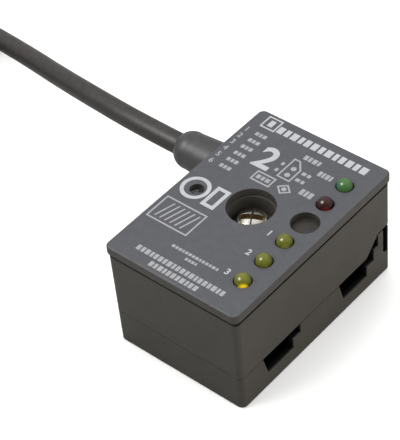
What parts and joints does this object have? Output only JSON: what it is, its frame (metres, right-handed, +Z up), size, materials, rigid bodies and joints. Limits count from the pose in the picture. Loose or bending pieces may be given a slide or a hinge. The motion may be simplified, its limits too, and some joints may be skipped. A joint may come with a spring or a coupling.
{
  "type": "safety input module",
  "caption": "Small safety input module on a piercing flat-cable base, with signal lamps, addressing window, captive screw and fixed lead.",
  "frame": {"origin": "centre of the foot's underside, under the middle of the cover", "axes": "+Z up through the cover's face, +Y along the module towards its hook end, the lead leaves towards -X and the lamps stand along +X"},
  "size_m": [0.1687, 0.0779, 0.0258],
  "materials": {
    "cover_plastic": "fine satin moulding",
    "housing_plastic": "fine satin moulding",
    "base_plastic": "fine satin moulding",
    "screw_steel": "bright zinc plating",
    "spring_steel": "oiled spring steel",
    "insert_brass": "turned",
    "seal_rubber": "moulded rubber",
    "pad_rubber": "moulded rubber",
    "relief_rubber": "moulded rubber",
    "green_lens": "tinted clear resin",
    "red_lens": "tinted clear resin",
    "yellow_lens": "tinted clear resin",
    "window_plastic": "smoked clear resin",
    "diode_plastic": "dark resin",
    "plug_plastic": "smooth plug",
    "board_laminate": "lacquered laminate",
    "chip_plastic": "moulded package",
    "ferrite": "sintered ferrite",
    "can_aluminium": "drawn can",
    "resistor_ceramic": "lacquered ceramic",
    "contact_gold": "gold plating",
    "block_plastic": "moulded",
    "core_insulation": "coloured insulation",
    "lead_sheath": "smooth sheath",
    "tinned_copper": "tinned sleeve"
  },
  "bodies": {
    "module": {"top_cover": "cover_plastic", "upper_housing": "housing_plastic", "cable_base": "base_plastic", "screw_seal": "seal_rubber", "threaded_insert": "insert_brass", "power_led": "green_lens", "fault_led": "red_lens", "input_led_1": "yellow_lens", "input_led_2": "yellow_lens", "output_led": "yellow_lens", "infrared_window": "window_plastic", "receiver_diode": "diode_plastic", "filler_plug": "plug_plastic", "circuit_board": "board_laminate", "bus_chip": "chip_plastic", "controller_chip": "chip_plastic", "chokes": "ferrite", "buffer_capacitor": "can_aluminium", "output_switch": "chip_plastic", "chip_resistors": "resistor_ceramic", "bus_contacts": "contact_gold", "supply_contacts": "contact_gold", "bus_contact_block": "block_plastic", "supply_contact_block": "block_plastic", "bus_seal": "pad_rubber", "supply_seal": "pad_rubber", "strain_relief": "relief_rubber", "inner_cores": "core_insulation", "lead": "lead_sheath", "lead_coil": "lead_sheath", "lead_tail": "lead_sheath", "core_ends": "core_insulation", "core_ferrules": "tinned_copper"},
    "screw": {"fixing_screw": "screw_steel", "retaining_ring": "spring_steel"}
  },
  "joints": [
    {"name": "fixing_screw_turn", "type": "hinge", "parent": "module", "child": "screw", "pos_m": [0, 0.00047, 0.0195], "axis": [0, 0, 1], "continuous": true}
  ]
}
